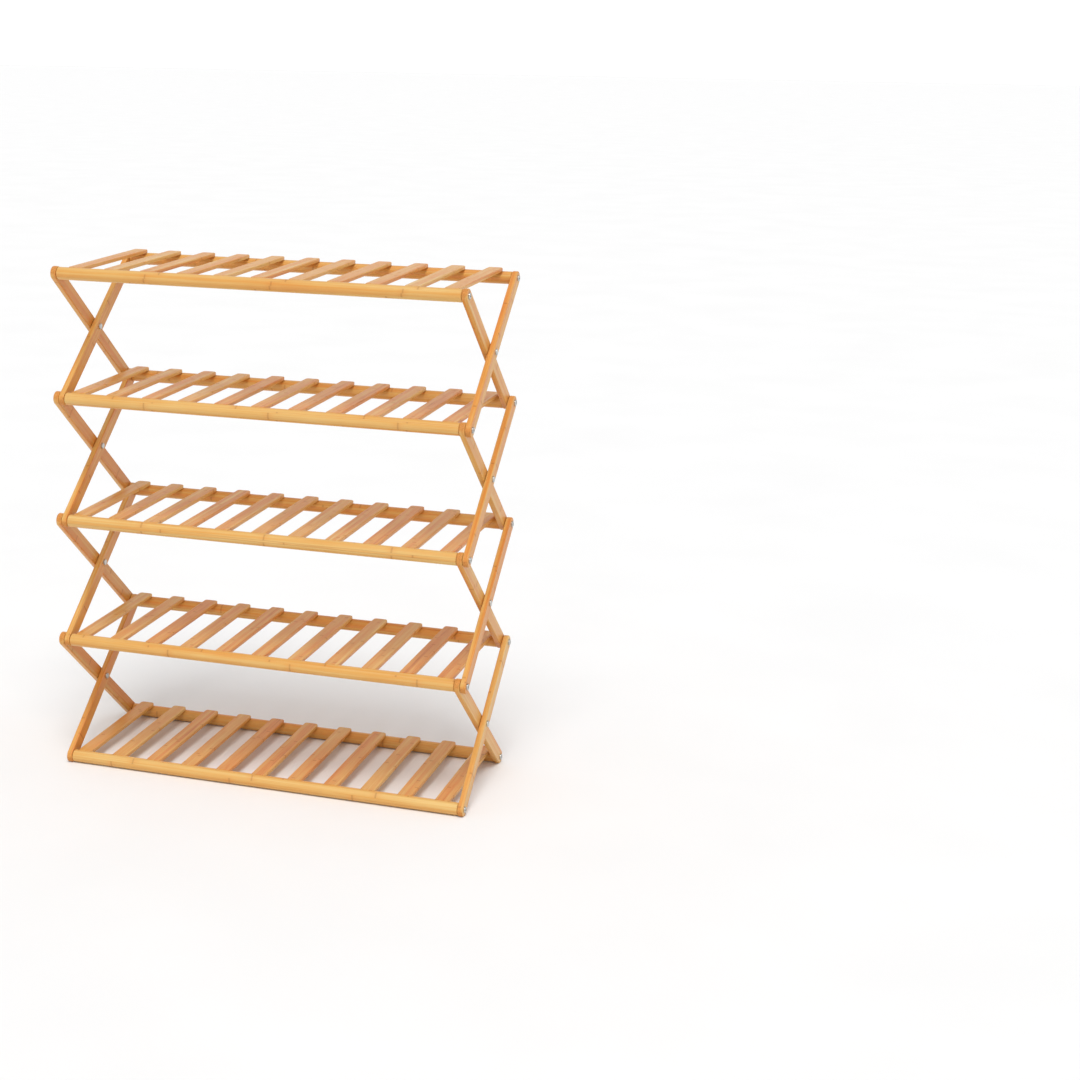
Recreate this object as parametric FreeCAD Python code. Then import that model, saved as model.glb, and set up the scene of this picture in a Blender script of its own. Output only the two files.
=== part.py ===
"""Folding five-tier slatted bamboo shoe rack, standing open. Millimetres, +Z up, the front faces -Y.

The origin is on the floor, under the middle of the rack. Shelf 1 is the top one and shelf 5 the bottom one.
Each shelf has a front rail, a rear rail and a row of slats. Between two shelves is a bay, and in each bay a pair
of legs crosses at each end of the rack:
- the falling leg runs from the upper front rail down to the lower rear rail,
- the rising leg runs from the upper rear rail down to the lower front rail.
The two leg frames have the same width and are set one leg thickness apart sideways, so a falling leg is the
outer one at the left end and the inner one at the right end.
"""

import FreeCAD
import Part
import math
import os

# Sizes that are chosen
SHELVES = 5
RACK_WIDTH = 692.0  # over the outer faces of the outer legs
DEPTH = 240.0  # front rail axis to rear rail axis
SHELF_PITCH = 200.0  # one shelf's rail axes to the next shelf's
LEG_WIDTH = 22.0
LEG_THICKNESS = 9.0
LAYER_GAP = 0.5  # between neighbours that turn on one screw
RAIL_RADIUS = 10.0
FOOT_HEIGHT = 10.0  # of the bottom rail axes; less than half a leg's width, so each foot gets a flat

SLAT_COUNT = 11
SLAT_WIDTH = 24.0
SLAT_THICKNESS = 5.5
SLAT_PITCH = 61.8
SLAT_LENGTH = 241.5  # from above the front rail's axis to just behind the rear rail's
SEAT_HEIGHT = 5.0  # of the slats' seats above the front rail's axis, which puts their tops level with its top
REST_CLEARANCE = 0.3  # between the slats and the top of the rear rail

SCREW_RADIUS = 2.5
SCREW_GRIP = 15.0  # length of a screw inside its rail, which stops it short of the nearest brad
SCREW_HEAD_RADIUS = 5.0
RIVET_RADIUS = 3.0
RIVET_HEAD_RADIUS = 5.0
HEAD_HEIGHT = 2.0
HEAD_ROUNDING = 1.2
RECESS_LENGTH = 5.0  # of each arm of the cross in a screw's head
RECESS_WIDTH = 1.1
RECESS_DEPTH = 1.2
HEAD_GAP = 0.15  # under a head, so that the leg can turn
RUNNING = 0.08  # radial clearance of a hole that turns on its pin
SNUG = 0.02  # radial clearance of a hole that holds its pin

BRAD_RADIUS = 0.8
BRAD_HEAD_RADIUS = 1.6
BRAD_HEAD_HEIGHT = 0.7
BRAD_SETBACK = 4.0  # behind the front rail's axis
BRAD_BOTTOM = -8.6  # from the front rail's axis
BRAD_TOP = 9.0

LEG_EDGE = 1.5
RAIL_CHAMFER = 0.8
SLAT_EDGE = 1.5
SEAM_TURN = 120.0  # takes a rail's seam from its top, where the seats are cut, to its lower front
SLAT_CORNER = 5.0
SEAT_FIT = 0.05  # between a slat and the walls of its seat

# Sizes that follow from them
OUTER = RACK_WIDTH / 2 - LEG_THICKNESS  # inward face of an outer leg
INNER = OUTER - LAYER_GAP - LEG_THICKNESS  # inward face of an inner leg
FRONT = -DEPTH / 2
REAR = DEPTH / 2
SLAT_TILT = math.degrees(math.atan((RAIL_RADIUS + REST_CLEARANCE - SEAT_HEIGHT) / DEPTH))
SLAT_CENTRES = [(i - (SLAT_COUNT - 1) / 2) * SLAT_PITCH for i in range(SLAT_COUNT)]

X_AXIS = FreeCAD.Vector(1, 0, 0)
Z_AXIS = FreeCAD.Vector(0, 0, 1)
ORIGIN = FreeCAD.Vector(0, 0, 0)
TINY = 1e-6


def axis_height(shelf):
    """Height of a shelf's two rail axes."""
    return FOOT_HEIGHT + (SHELVES - shelf) * SHELF_PITCH


def rod(radius, x_from, x_to, y, z):
    """A cylinder along X between two positions, given in either order."""
    low, high = sorted((x_from, x_to))
    return Part.makeCylinder(radius, high - low, FreeCAD.Vector(low, y, z), X_AXIS)


def flat_edges(shape):
    """The edges that lie in a plane square to X."""
    return [edge for edge in shape.Edges if edge.BoundBox.XLength < TINY]


def leg(inward_face, side, start, end, rivet_clearance, has_foot):
    """A flat bar with round ends. start and end are the (y, z) of its end holes."""
    half = LEG_WIDTH / 2
    length = math.hypot(end[0] - start[0], end[1] - start[1])
    lean = math.degrees(math.atan2(end[1] - start[1], end[0] - start[0]))
    bar = Part.makeBox(LEG_THICKNESS, length, LEG_WIDTH, FreeCAD.Vector(0, 0, -half))
    for y in (0, length):
        bar = bar.fuse(rod(half, 0, LEG_THICKNESS, y, 0))
    bar = bar.removeSplitter()
    bar = bar.makeFillet(LEG_EDGE, flat_edges(bar))
    for y, radius in (
        (0, SCREW_RADIUS + RUNNING),
        (length / 2, RIVET_RADIUS + rivet_clearance),
        (length, SCREW_RADIUS + RUNNING),
    ):
        bar = bar.cut(rod(radius, -1, LEG_THICKNESS + 1, y, 0))
    bar.rotate(ORIGIN, X_AXIS, lean)
    low = min(side * inward_face, side * (inward_face + LEG_THICKNESS))
    bar.translate(FreeCAD.Vector(low, start[0], start[1]))
    if has_foot:
        corner = FreeCAD.Vector(-RACK_WIDTH, -DEPTH, -LEG_WIDTH)
        bar = bar.cut(Part.makeBox(RACK_WIDTH * 2, DEPTH * 2, LEG_WIDTH, corner))
    return bar


def falling_leg(bay, side):
    """The leg that turns on the rivet. side is -1 at the left end and 1 at the right end."""
    start = (FRONT, axis_height(bay))
    end = (REAR, axis_height(bay + 1))
    return leg(OUTER if side < 0 else INNER, side, start, end, RUNNING, bay == SHELVES - 1)


def rising_leg(bay, side):
    """The leg that holds the rivet."""
    start = (FRONT, axis_height(bay + 1))
    end = (REAR, axis_height(bay))
    return leg(INNER if side < 0 else OUTER, side, start, end, SNUG, bay == SHELVES - 1)


def head(face, direction, radius, y, z):
    """A round head with an eased crown. It stands on a face and points along direction, 1 or -1."""
    base = face + direction * HEAD_GAP
    crown = base + direction * HEAD_HEIGHT
    made = rod(radius, base, crown, y, z)
    rim = [edge for edge in flat_edges(made) if abs(edge.CenterOfMass.x - crown) < TINY]
    return made.makeFillet(HEAD_ROUNDING, rim)


def cross_recess(crown, direction, y, z):
    """The cutter for the driver's cross in a screw's head."""
    low = min(crown - direction * RECESS_DEPTH, crown + direction)
    arms = []
    for wide, tall in ((RECESS_LENGTH, RECESS_WIDTH), (RECESS_WIDTH, RECESS_LENGTH)):
        corner = FreeCAD.Vector(low, y - wide / 2, z - tall / 2)
        arms.append(Part.makeBox(RECESS_DEPTH + 1, wide, tall, corner))
    return arms[0].fuse(arms[1])


def rivet(bay, side):
    """Holds a crossing pair of legs together, with a head on each face."""
    z = (axis_height(bay) + axis_height(bay + 1)) / 2
    inward = side * INNER
    outward = side * RACK_WIDTH / 2
    made = rod(RIVET_RADIUS, inward - side * HEAD_GAP, outward + side * HEAD_GAP, 0, z)
    heads = [head(outward, side, RIVET_HEAD_RADIUS, 0, z), head(inward, -side, RIVET_HEAD_RADIUS, 0, z)]
    return made.fuse(heads).removeSplitter()


def legs_on(shelf, at_rear):
    """Which leg frames reach a rail: falling, rising."""
    falling = shelf > 1 if at_rear else shelf < SHELVES
    rising = shelf < SHELVES if at_rear else shelf > 1
    return falling, rising


def rail_end(shelf, at_rear, side):
    """How far out a rail reaches at one end, and how far out the face is under its screw's head."""
    falling, rising = legs_on(shelf, at_rear)
    has_outer = falling if side < 0 else rising
    has_inner = rising if side < 0 else falling
    reach = (INNER if has_inner else OUTER) - LAYER_GAP
    face = (OUTER if has_outer else INNER) + LEG_THICKNESS
    return reach, face


def brad(x, shelf, bottom=BRAD_BOTTOM, clearance=0.0):
    """A brad driven up through the front rail into a slat or, with a clearance, the cutter for its hole."""
    foot = FreeCAD.Vector(x, FRONT + BRAD_SETBACK, axis_height(shelf) + bottom)
    plate_height = BRAD_BOTTOM + BRAD_HEAD_HEIGHT - bottom + clearance
    plate = Part.makeCylinder(BRAD_HEAD_RADIUS + clearance, plate_height, foot, Z_AXIS)
    shank = Part.makeCylinder(BRAD_RADIUS + clearance, BRAD_TOP - bottom + clearance, foot, Z_AXIS)
    return plate.fuse(shank).removeSplitter()


def brad_hole(x, shelf):
    """The cutter for a brad's hole, open at the bottom of the rail."""
    return brad(x, shelf, -RAIL_RADIUS - 1, SNUG)


def seat_cutter(x, shelf):
    """The cutter for the seat in a front rail that a slat is let into. It is closed in front and open behind."""
    corner = FreeCAD.Vector(x - SLAT_WIDTH / 2 - SEAT_FIT, -SEAT_FIT, 0)
    made = Part.makeBox(SLAT_WIDTH + 2 * SEAT_FIT, 2 * RAIL_RADIUS, RAIL_RADIUS, corner)
    made.rotate(ORIGIN, X_AXIS, SLAT_TILT)
    made.translate(FreeCAD.Vector(0, FRONT, axis_height(shelf) + SEAT_HEIGHT))
    return made


def rail(shelf, at_rear):
    """A round rail with a blind hole in each end. A front rail has a seat and a brad hole for each slat too."""
    y = REAR if at_rear else FRONT
    z = axis_height(shelf)
    left = -rail_end(shelf, at_rear, -1)[0]
    right = rail_end(shelf, at_rear, 1)[0]
    made = rod(RAIL_RADIUS, left, right, y, z)
    made.rotate(FreeCAD.Vector(0, y, z), X_AXIS, SEAM_TURN)
    made = made.makeChamfer(RAIL_CHAMFER, flat_edges(made))
    for side, end in ((-1, left), (1, right)):
        made = made.cut(rod(SCREW_RADIUS + SNUG, end + side, end - side * (SCREW_GRIP + 1), y, z))
    if not at_rear:
        for x in SLAT_CENTRES:
            made = made.cut(seat_cutter(x, shelf)).cut(brad_hole(x, shelf))
    return made


def screw(shelf, at_rear, side):
    """Holds the legs to one end of a rail."""
    y = REAR if at_rear else FRONT
    z = axis_height(shelf)
    reach, face = rail_end(shelf, at_rear, side)
    made = rod(SCREW_RADIUS, side * (reach - SCREW_GRIP), side * (face + HEAD_GAP), y, z)
    made = made.fuse(head(side * face, side, SCREW_HEAD_RADIUS, y, z)).removeSplitter()
    return made.cut(cross_recess(side * (face + HEAD_GAP + HEAD_HEIGHT), side, y, z))


def slat(x, shelf):
    """One slat, seated on the front rail and lying just over the rear one."""
    made = Part.makeBox(SLAT_WIDTH, SLAT_LENGTH, SLAT_THICKNESS, FreeCAD.Vector(x - SLAT_WIDTH / 2, 0, 0))
    made = made.makeFillet(SLAT_CORNER, [e for e in made.Edges if e.BoundBox.ZLength > SLAT_THICKNESS / 2])
    made = made.makeFillet(SLAT_EDGE, [e for e in made.Edges if e.BoundBox.ZMin > SLAT_THICKNESS - 1e-4])
    made.rotate(ORIGIN, X_AXIS, SLAT_TILT)
    made.translate(FreeCAD.Vector(0, FRONT, axis_height(shelf) + SEAT_HEIGHT))
    return made.cut(brad_hole(x, shelf))


def export(name, solids):
    """Writes one node."""
    for solid in solids:
        if not solid.isValid() or len(solid.Solids) != 1:
            raise ValueError(name + " has a bad solid")
    shape = solids[0] if len(solids) == 1 else Part.makeCompound(solids)
    shape.exportStep("parts/" + name + ".step")


def export_shelf(shelf):
    """Writes a shelf's six nodes."""
    name = "shelf_%d_" % shelf
    export(name + "slats", [slat(x, shelf) for x in SLAT_CENTRES])
    export(name + "slat_brads", [brad(x, shelf) for x in SLAT_CENTRES])
    for place, at_rear in (("front", False), ("rear", True)):
        export(name + place + "_rail", [rail(shelf, at_rear)])
        export(name + place + "_screws", [screw(shelf, at_rear, side) for side in (-1, 1)])


def export_bay(bay):
    """Writes a bay's four legs and two rivets."""
    for place, side in (("left", -1), ("right", 1)):
        export("bay_%d_falling_leg_%s" % (bay, place), [falling_leg(bay, side)])
        export("bay_%d_rising_leg_%s" % (bay, place), [rising_leg(bay, side)])
        export("bay_%d_pivot_rivet_%s" % (bay, place), [rivet(bay, side)])


os.makedirs("parts", exist_ok=True)
for shelf_number in range(1, SHELVES + 1):
    export_shelf(shelf_number)
for bay_number in range(1, SHELVES):
    export_bay(bay_number)
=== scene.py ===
"""Looks for the folding bamboo shoe rack: materials, stage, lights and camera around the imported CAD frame."""

import math
import random

import bpy
from mathutils import Matrix, Vector


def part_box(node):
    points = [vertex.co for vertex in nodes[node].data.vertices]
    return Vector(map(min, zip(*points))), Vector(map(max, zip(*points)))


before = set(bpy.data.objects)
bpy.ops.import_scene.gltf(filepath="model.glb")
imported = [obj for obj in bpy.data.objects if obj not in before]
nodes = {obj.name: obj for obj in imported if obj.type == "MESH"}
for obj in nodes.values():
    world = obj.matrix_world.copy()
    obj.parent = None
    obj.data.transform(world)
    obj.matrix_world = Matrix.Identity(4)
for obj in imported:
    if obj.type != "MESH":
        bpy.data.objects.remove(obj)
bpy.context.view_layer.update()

# The rack's own sizes, read from the frame
SHELVES = 5
front_rail_low, front_rail_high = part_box("shelf_1_front_rail")
rear_rail_low, rear_rail_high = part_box("shelf_1_rear_rail")
top_axis = (front_rail_low + front_rail_high) / 2
rear_axis = (rear_rail_low + rear_rail_high) / 2
second_axis = sum(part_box("shelf_2_front_rail"), Vector()) / 2
depth = rear_axis.y - top_axis.y
pitch = top_axis.z - second_axis.z
LEAN = math.atan2(pitch, depth)  # of a leg, from level
slats_low, slats_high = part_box("shelf_1_slats")
SLAT_PITCH = 0.0618

# Bamboo, sRGB 0..1
PALE = (0.87, 0.73, 0.46)
GOLD = (0.84, 0.62, 0.32)
TAN = (0.83, 0.52, 0.22)
BROWN = (0.62, 0.34, 0.12)
KNUCKLE = (0.48, 0.25, 0.09)
KNUCKLE_SPACING = 0.21  # metres between the dark rings of one strip
LAYER_THICKNESS = 0.019  # of one glued layer, in metres

# Stage and light
FLOOR_REACH = 60.0
FLOOR_DROP = 0.0004
KEY_FROM = (0.35, -1.1, 2.2)
KEY_STRENGTH = 1.9
KEY_SPREAD = math.radians(28)
SKY_AT_HORIZON = 1.2
SKY_OVERHEAD = 0.6

# Camera
CAMERA_AT = (1.1387, -2.8546, 1.1823)
CAMERA_LENS = 65.1
CAMERA_SHIFT = (0.1296, -0.0833)
CAMERA_AZIMUTH = math.radians(18.33)
CAMERA_ELEVATION = math.radians(11.98)
CAMERA_ROLL = math.radians(0.77)


def linear(colour):
    """sRGB to the scene's linear colour, with alpha."""
    return tuple(c / 12.92 if c <= 0.04045 else ((c + 0.055) / 1.055) ** 2.4 for c in colour) + (1.0,)


def blend_colour(a, b, t):
    return tuple(x + (y - x) * t for x, y in zip(a, b))


class Nodes:
    """Short calls to make and join shader nodes."""

    def __init__(self, material):
        material.use_nodes = True
        self.tree = material.node_tree
        self.tree.nodes.clear()

    def add(self, kind, inputs=(), **settings):
        node = self.tree.nodes.new("ShaderNode" + kind)
        for name, value in settings.items():
            setattr(node, name, value)
        for key, value in dict(inputs).items():
            if isinstance(value, bpy.types.NodeSocket):
                self.tree.links.new(value, node.inputs[key])
            else:
                node.inputs[key].default_value = value
        return node

    def math(self, operation, a, b=0.0, c=0.0):
        return self.add("Math", {0: a, 1: b, 2: c}, operation=operation).outputs[0]

    def ramp(self, factor, stops):
        node = self.add("ValToRGB", {0: factor})
        ramp = node.color_ramp
        while len(ramp.elements) < len(stops):
            ramp.elements.new(0.5)
        for element, (position, colour) in zip(ramp.elements, stops):
            element.position = position
            element.color = colour
        return node.outputs[0]

    def map_range(self, value, low, high, to_low=0.0, to_high=1.0, smooth=True):
        node = self.add("MapRange", {"Value": value, "From Min": low, "From Max": high,
                                     "To Min": to_low, "To Max": to_high})
        node.interpolation_type = "SMOOTHSTEP" if smooth else "LINEAR"
        return node.outputs["Result"]

    def mix(self, factor, a, b, blend="MIX"):
        node = self.add("Mix", data_type="RGBA", blend_type=blend)
        for index, value in ((0, factor), (6, a), (7, b)):
            if isinstance(value, bpy.types.NodeSocket):
                self.tree.links.new(value, node.inputs[index])
            else:
                node.inputs[index].default_value = value
        return node.outputs[2]


def bamboo(name, turn, seed, tone=0.5, strip=0.006, per_slat=False):
    """Lacquered bamboo lumber with its grain along a chosen direction.

    turn: rotation (x, y, z) in radians that brings the grain onto the texture's X axis.
    seed: which stretch of bamboo this is. tone: 0 pale to 1 brown. strip: width of one glued strip in metres.
    """
    material = bpy.data.materials.new(name)
    n = Nodes(material)
    rnd = random.Random(seed)
    place = n.add("TexCoord").outputs["Object"]
    # Rotate first, then shift along the grain, so every stick is cut from another place.
    turned = n.add("VectorRotate", {"Vector": place, "Rotation": turn}, rotation_type="EULER_XYZ").outputs[0]
    shift = (rnd.uniform(2, 40), rnd.uniform(2, 40), rnd.uniform(2, 40))
    moved = n.add("VectorMath", {0: turned, 1: shift}, operation="ADD").outputs[0]
    split = n.add("SeparateXYZ", {0: moved})
    along, across, through = split.outputs

    # A slow waver keeps the glue lines and fibres from being ruler-straight.
    waver = n.add("TexNoise", {"Vector": moved, "Scale": 6.0, "Detail": 1.0}).outputs[0]
    waver = n.math("MULTIPLY_ADD", waver, 0.0016, -0.0008)
    across_w = n.math("ADD", across, waver)

    strip_number = n.math("FLOOR", n.math("DIVIDE", across_w, strip))
    layer_number = n.math("FLOOR", n.math("DIVIDE", through, LAYER_THICKNESS))
    seed_vector = n.add("CombineXYZ", {0: strip_number, 1: layer_number, 2: float(seed)}).outputs[0]
    strip_noise = n.add("TexWhiteNoise", {"Vector": seed_vector}, noise_dimensions="3D")
    strip_tone = strip_noise.outputs["Value"]
    strip_split = n.add("SeparateXYZ", {0: strip_noise.outputs["Color"]})

    # Fibres: long thin streaks at two sizes
    fine_at = n.add("VectorMath", {0: moved, 1: (9.0, 1100.0, 1100.0)}, operation="MULTIPLY").outputs[0]
    fine = n.add("TexNoise", {"Vector": fine_at, "Scale": 1.0, "Detail": 3.0, "Roughness": 0.62}).outputs[0]
    broad_at = n.add("VectorMath", {0: moved, 1: (2.6, 210.0, 210.0)}, operation="MULTIPLY").outputs[0]
    broad = n.add("TexNoise", {"Vector": broad_at, "Scale": 1.0, "Detail": 2.0, "Roughness": 0.5}).outputs[0]
    cloud = n.add("TexNoise", {"Vector": moved, "Scale": 9.0, "Detail": 2.0}).outputs[0]

    # Knuckles: one dark ring every 20 cm or so on each strip, each at its own place
    jitter = n.math("MULTIPLY", strip_split.outputs[1], KNUCKLE_SPACING)
    ring_at = n.math("FRACT", n.math("DIVIDE", n.math("ADD", along, jitter), KNUCKLE_SPACING))
    ring_distance = n.math("ABSOLUTE", n.math("SUBTRACT", ring_at, 0.5))
    ring_distance = n.math("MULTIPLY", ring_distance, KNUCKLE_SPACING)
    ring_wobble = n.math("MULTIPLY_ADD", fine, 0.0016, -0.0008)
    ring_distance = n.math("ADD", ring_distance, ring_wobble)
    ring = n.map_range(ring_distance, 0.0004, 0.0022, 1.0, 0.0)
    halo = n.map_range(ring_distance, 0.001, 0.014, 1.0, 0.0)

    # Glue line: a hair-thin darker gap between two strips
    in_strip = n.math("FRACT", n.math("DIVIDE", across_w, strip))
    glue = n.math("MULTIPLY", n.math("ABSOLUTE", n.math("SUBTRACT", in_strip, 0.5)), 2.0)
    glue = n.map_range(glue, 0.955, 1.0)

    # Tone: 0 pale, 1 brown
    level = n.math("MULTIPLY_ADD", n.math("SUBTRACT", fine, 0.5), 0.62, 0.36 + 0.30 * (tone - 0.5))
    level = n.math("MULTIPLY_ADD", n.math("SUBTRACT", broad, 0.5), 0.75, level)
    level = n.math("MULTIPLY_ADD", n.math("SUBTRACT", strip_tone, 0.5), 0.26, level)
    level = n.math("MULTIPLY_ADD", n.math("SUBTRACT", cloud, 0.5), 0.30, level)
    if per_slat:
        # each slat of a row has its own overall tone
        step = n.add("SeparateXYZ", {0: place}).outputs[0]
        number = n.math("FLOOR", n.math("DIVIDE", n.math("SUBTRACT", step, slats_low.x - 0.015), SLAT_PITCH))
        own_seed = n.math("ADD", number, seed * 17.0)
        own = n.add("TexWhiteNoise", {"W": own_seed}, noise_dimensions="1D").outputs["Value"]
        level = n.math("MULTIPLY_ADD", n.math("SUBTRACT", own, 0.5), 0.14, level)
    tones = [(0.0, linear(PALE)), (0.36, linear(GOLD)), (0.66, linear(TAN)), (1.0, linear(BROWN))]
    colour = n.ramp(level, tones)
    colour = n.mix(n.math("MULTIPLY", halo, 0.22), colour, linear(TAN))
    colour = n.mix(n.math("MULTIPLY", ring, 0.30), colour, linear(KNUCKLE))
    colour = n.mix(n.math("MULTIPLY", glue, 0.30), colour, linear(BROWN))

    # End grain: where the surface faces along the grain, the fibres show as dots.
    facing = n.add("TexCoord").outputs["Normal"]
    facing = n.add("VectorRotate", {"Vector": facing, "Rotation": turn}, rotation_type="EULER_XYZ").outputs[0]
    facing = n.math("ABSOLUTE", n.add("SeparateXYZ", {0: facing}).outputs[0])
    end_face = n.map_range(facing, 0.55, 0.9)
    dots = n.add("TexVoronoi", {"Vector": moved, "Scale": 1250.0, "Randomness": 1.0}).outputs["Distance"]
    dots = n.map_range(dots, 0.22, 0.5, 1.0, 0.0)
    end_colour = n.mix(dots, linear(blend_colour(GOLD, TAN, 0.75)), linear(KNUCKLE))
    colour = n.mix(n.math("MULTIPLY", end_face, 0.8), colour, end_colour)

    # Lacquer: smoother on the dense fibre, rougher at the knuckles and on end grain
    rough = n.math("MULTIPLY_ADD", fine, 0.22, 0.27)
    rough = n.math("MULTIPLY_ADD", ring, 0.12, rough)
    rough = n.math("MULTIPLY_ADD", end_face, 0.25, rough)
    height = n.math("MULTIPLY_ADD", fine, 0.35, n.math("MULTIPLY", broad, 0.35))
    height = n.math("MULTIPLY_ADD", ring, 0.9, height)
    height = n.math("MULTIPLY_ADD", glue, -0.8, height)
    height = n.math("MULTIPLY_ADD", n.math("MULTIPLY", end_face, dots), -0.7, height)
    bump = n.add("Bump", {"Height": height, "Strength": 0.5, "Distance": 0.00022}).outputs[0]
    shader = n.add("BsdfPrincipled", {
        "Base Color": colour, "Roughness": rough, "Normal": bump,
        "IOR": 1.5, "Coat Weight": 0.12, "Coat Roughness": 0.22, "Specular IOR Level": 0.35,
    })
    n.add("OutputMaterial", {0: shader.outputs[0]})
    return material


def zinc():
    """Zinc-plated steel: cool grey with faint turning marks and a little dulling."""
    material = bpy.data.materials.new("zinc_steel")
    n = Nodes(material)
    place = n.add("TexCoord").outputs["Object"]
    cloud = n.add("TexNoise", {"Vector": place, "Scale": 260.0, "Detail": 4.0, "Roughness": 0.6}).outputs[0]
    speck = n.add("TexNoise", {"Vector": place, "Scale": 1500.0, "Detail": 2.0}).outputs[0]
    colour = n.ramp(cloud, [(0.25, linear((0.66, 0.66, 0.65))), (0.75, linear((0.83, 0.83, 0.81)))])
    rough = n.math("MULTIPLY_ADD", speck, 0.22, 0.24)
    height = n.math("MULTIPLY_ADD", cloud, 0.6, n.math("MULTIPLY", speck, 0.4))
    bump = n.add("Bump", {"Height": height, "Strength": 0.3, "Distance": 0.0001}).outputs[0]
    shader = n.add("BsdfPrincipled", {
        "Base Color": colour, "Metallic": 1.0, "Roughness": rough, "Normal": bump,
    })
    n.add("OutputMaterial", {0: shader.outputs[0]})
    return material


def dress(node, material):
    """Gives a CAD node its material."""
    mesh = nodes[node].data
    mesh.materials.clear()
    mesh.materials.append(material)


def dress_rack():
    """Every CAD node gets a material with the grain along its own length."""
    along_x = (0.0, 0.0, 0.0)
    along_y = (0.0, 0.0, -math.pi / 2)
    steel = zinc()
    seed = 1
    for shelf in range(1, SHELVES + 1):
        name = "shelf_%d_" % shelf
        dress(name + "slats", bamboo(name + "slats", along_y, seed, 0.8, per_slat=True))
        dress(name + "front_rail", bamboo(name + "front_rail", along_x, seed + 1, 0.05, strip=0.0075))
        dress(name + "rear_rail", bamboo(name + "rear_rail", along_x, seed + 2, 0.6, strip=0.0075))
        for fastener in ("front_screws", "rear_screws", "slat_brads"):
            dress(name + fastener, steel)
        seed += 3
    for bay in range(1, SHELVES):
        for side in ("left", "right"):
            for leg, lean in (("falling", LEAN), ("rising", -LEAN)):
                name = "bay_%d_%s_leg_%s" % (bay, leg, side)
                # The lean comes off first, which lays the leg along Y. A quarter turn then brings it onto X.
                turn = (Matrix.Rotation(-math.pi / 2, 3, "Z") @ Matrix.Rotation(lean, 3, "X")).to_euler("XYZ")
                dress(name, bamboo(name, tuple(turn), seed, 0.75, strip=0.0055))
                seed += 1
            dress("bay_%d_pivot_rivet_%s" % (bay, side), steel)


def smooth_curves():
    """Round faces are shaded smooth and flat ones stay crisp."""
    for node in nodes.values():
        with bpy.context.temp_override(object=node, selected_objects=[node], active_object=node):
            bpy.ops.object.shade_smooth_by_angle(angle=math.radians(28))


def stage():
    """A pale floor that runs far past the view."""
    mesh = bpy.data.meshes.new("floor")
    corners = [(x * FLOOR_REACH, y * FLOOR_REACH, 0) for x, y in ((-1, -1), (1, -1), (1, 1), (-1, 1))]
    mesh.from_pydata(corners, [], [(0, 1, 2, 3)])
    floor = bpy.data.objects.new("floor", mesh)
    bpy.context.scene.collection.objects.link(floor)
    floor.location.z = -FLOOR_DROP
    material = bpy.data.materials.new("floor")
    n = Nodes(material)
    grain = n.add("TexNoise", {"Vector": n.add("TexCoord").outputs["Object"], "Scale": 3.0}).outputs[0]
    colour = n.ramp(grain, [(0.3, (0.86, 0.86, 0.86, 1)), (0.7, (0.88, 0.88, 0.88, 1))])
    shader = n.add("BsdfPrincipled", {"Base Color": colour, "Roughness": 0.8, "Specular IOR Level": 0.2})
    n.add("OutputMaterial", {0: shader.outputs[0]})
    mesh.materials.append(material)


def light():
    """A broad sun from above and in front, and a white sky that dims overhead.

    The colours are shown as plain sRGB.
    """
    bpy.context.scene.view_settings.view_transform = "Standard"
    data = bpy.data.lights.new("key", "SUN")
    data.energy = KEY_STRENGTH
    data.angle = KEY_SPREAD
    sun = bpy.data.objects.new("key", data)
    sun.rotation_euler = Vector(KEY_FROM).to_track_quat("Z", "Y").to_euler()
    bpy.context.scene.collection.objects.link(sun)

    world = bpy.data.worlds.new("sky")
    bpy.context.scene.world = world
    world.use_nodes = True
    tree = world.node_tree
    height = tree.nodes.new("ShaderNodeSeparateXYZ")
    dimming = tree.nodes.new("ShaderNodeMapRange")
    dimming.inputs["From Max"].default_value = 0.35
    dimming.inputs["To Min"].default_value = SKY_AT_HORIZON
    dimming.inputs["To Max"].default_value = SKY_OVERHEAD
    direction = tree.nodes.new("ShaderNodeTexCoord")
    tree.links.new(direction.outputs["Generated"], height.inputs[0])
    tree.links.new(height.outputs[2], dimming.inputs["Value"])
    tree.links.new(dimming.outputs["Result"], tree.nodes["Background"].inputs["Strength"])
    tree.nodes["Background"].inputs["Color"].default_value = (1, 1, 1, 1)


def camera():
    """Looks from the front right and slightly above, with a little lens shift and roll."""
    azimuth, elevation, roll = CAMERA_AZIMUTH, CAMERA_ELEVATION, CAMERA_ROLL
    back = Vector((
        math.sin(azimuth) * math.cos(elevation), -math.cos(azimuth) * math.cos(elevation), math.sin(elevation)
    ))
    right = Vector((math.cos(azimuth), math.sin(azimuth), 0))
    up = back.cross(right)
    right, up = right * math.cos(roll) + up * math.sin(roll), up * math.cos(roll) - right * math.sin(roll)
    data = bpy.data.cameras.new("camera")
    data.sensor_width = 36.0
    data.lens = CAMERA_LENS
    data.shift_x, data.shift_y = CAMERA_SHIFT
    made = bpy.data.objects.new("camera", data)
    bpy.context.scene.collection.objects.link(made)
    turn = Matrix((right, up, back)).transposed().to_4x4()
    made.matrix_world = Matrix.Translation(CAMERA_AT) @ turn
    bpy.context.scene.camera = made


camera()
dress_rack()
smooth_curves()
stage()
light()
